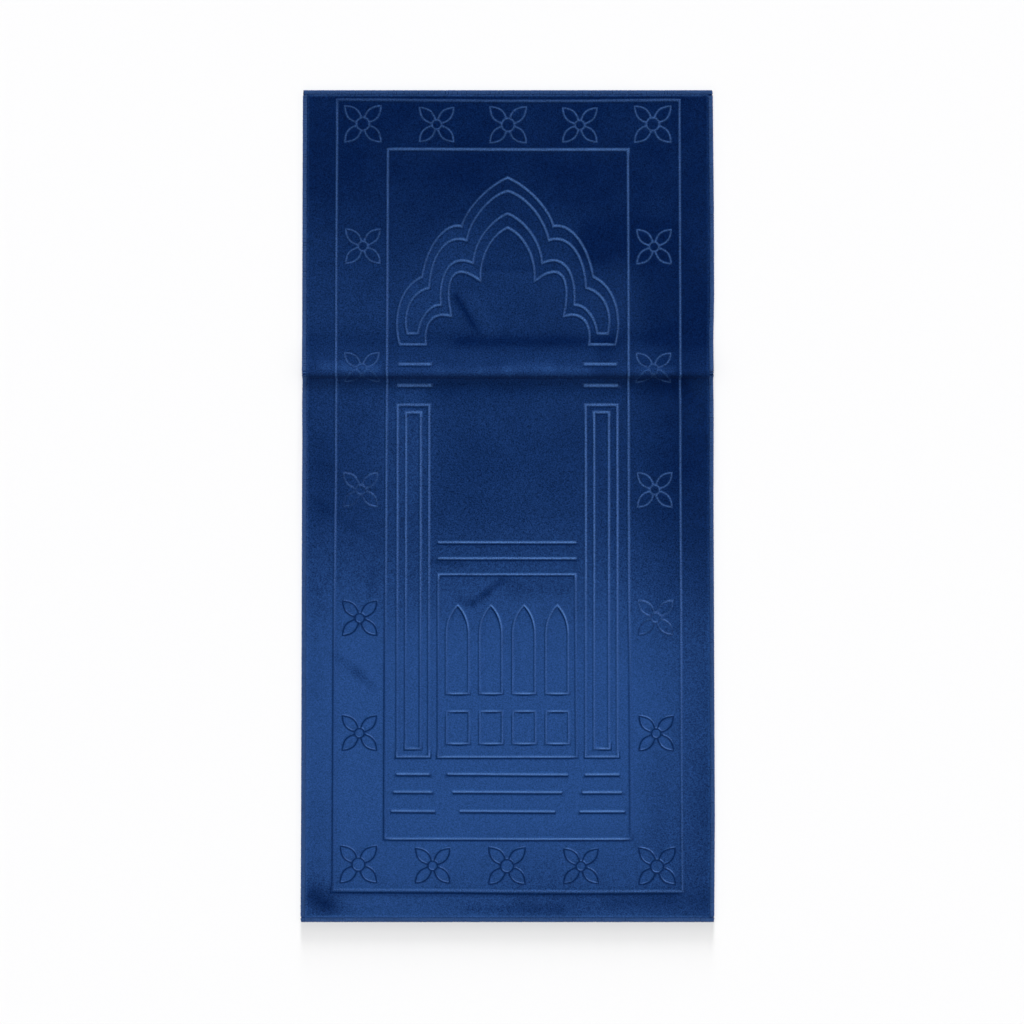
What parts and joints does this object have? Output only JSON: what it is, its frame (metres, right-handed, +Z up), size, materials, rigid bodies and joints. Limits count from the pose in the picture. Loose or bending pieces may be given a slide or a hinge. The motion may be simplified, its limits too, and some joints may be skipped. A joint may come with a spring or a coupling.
{
  "type": "prayer rug",
  "caption": "Flat embossed plush prayer rug with a scalloped arch, pillars and a flower border, an overlocked edge, and a storage fold still standing across it.",
  "frame": {"origin": "on the floor, under the middle of the rug's box", "axes": "+Y along the rug's length towards the arch's apex, +Z up off the floor, +X to the right as the arch is faced"},
  "size_m": [0.602, 1.2122, 0.0208],
  "materials": {
    "plush": "short dense plush, embossed",
    "overlock_thread": "matt overlock thread"
  },
  "bodies": {
    "root": {"rug_panel": "plush", "edge_top": "overlock_thread", "edge_bottom": "overlock_thread", "edge_left": "overlock_thread", "edge_right": "overlock_thread"}
  },
  "joints": []
}
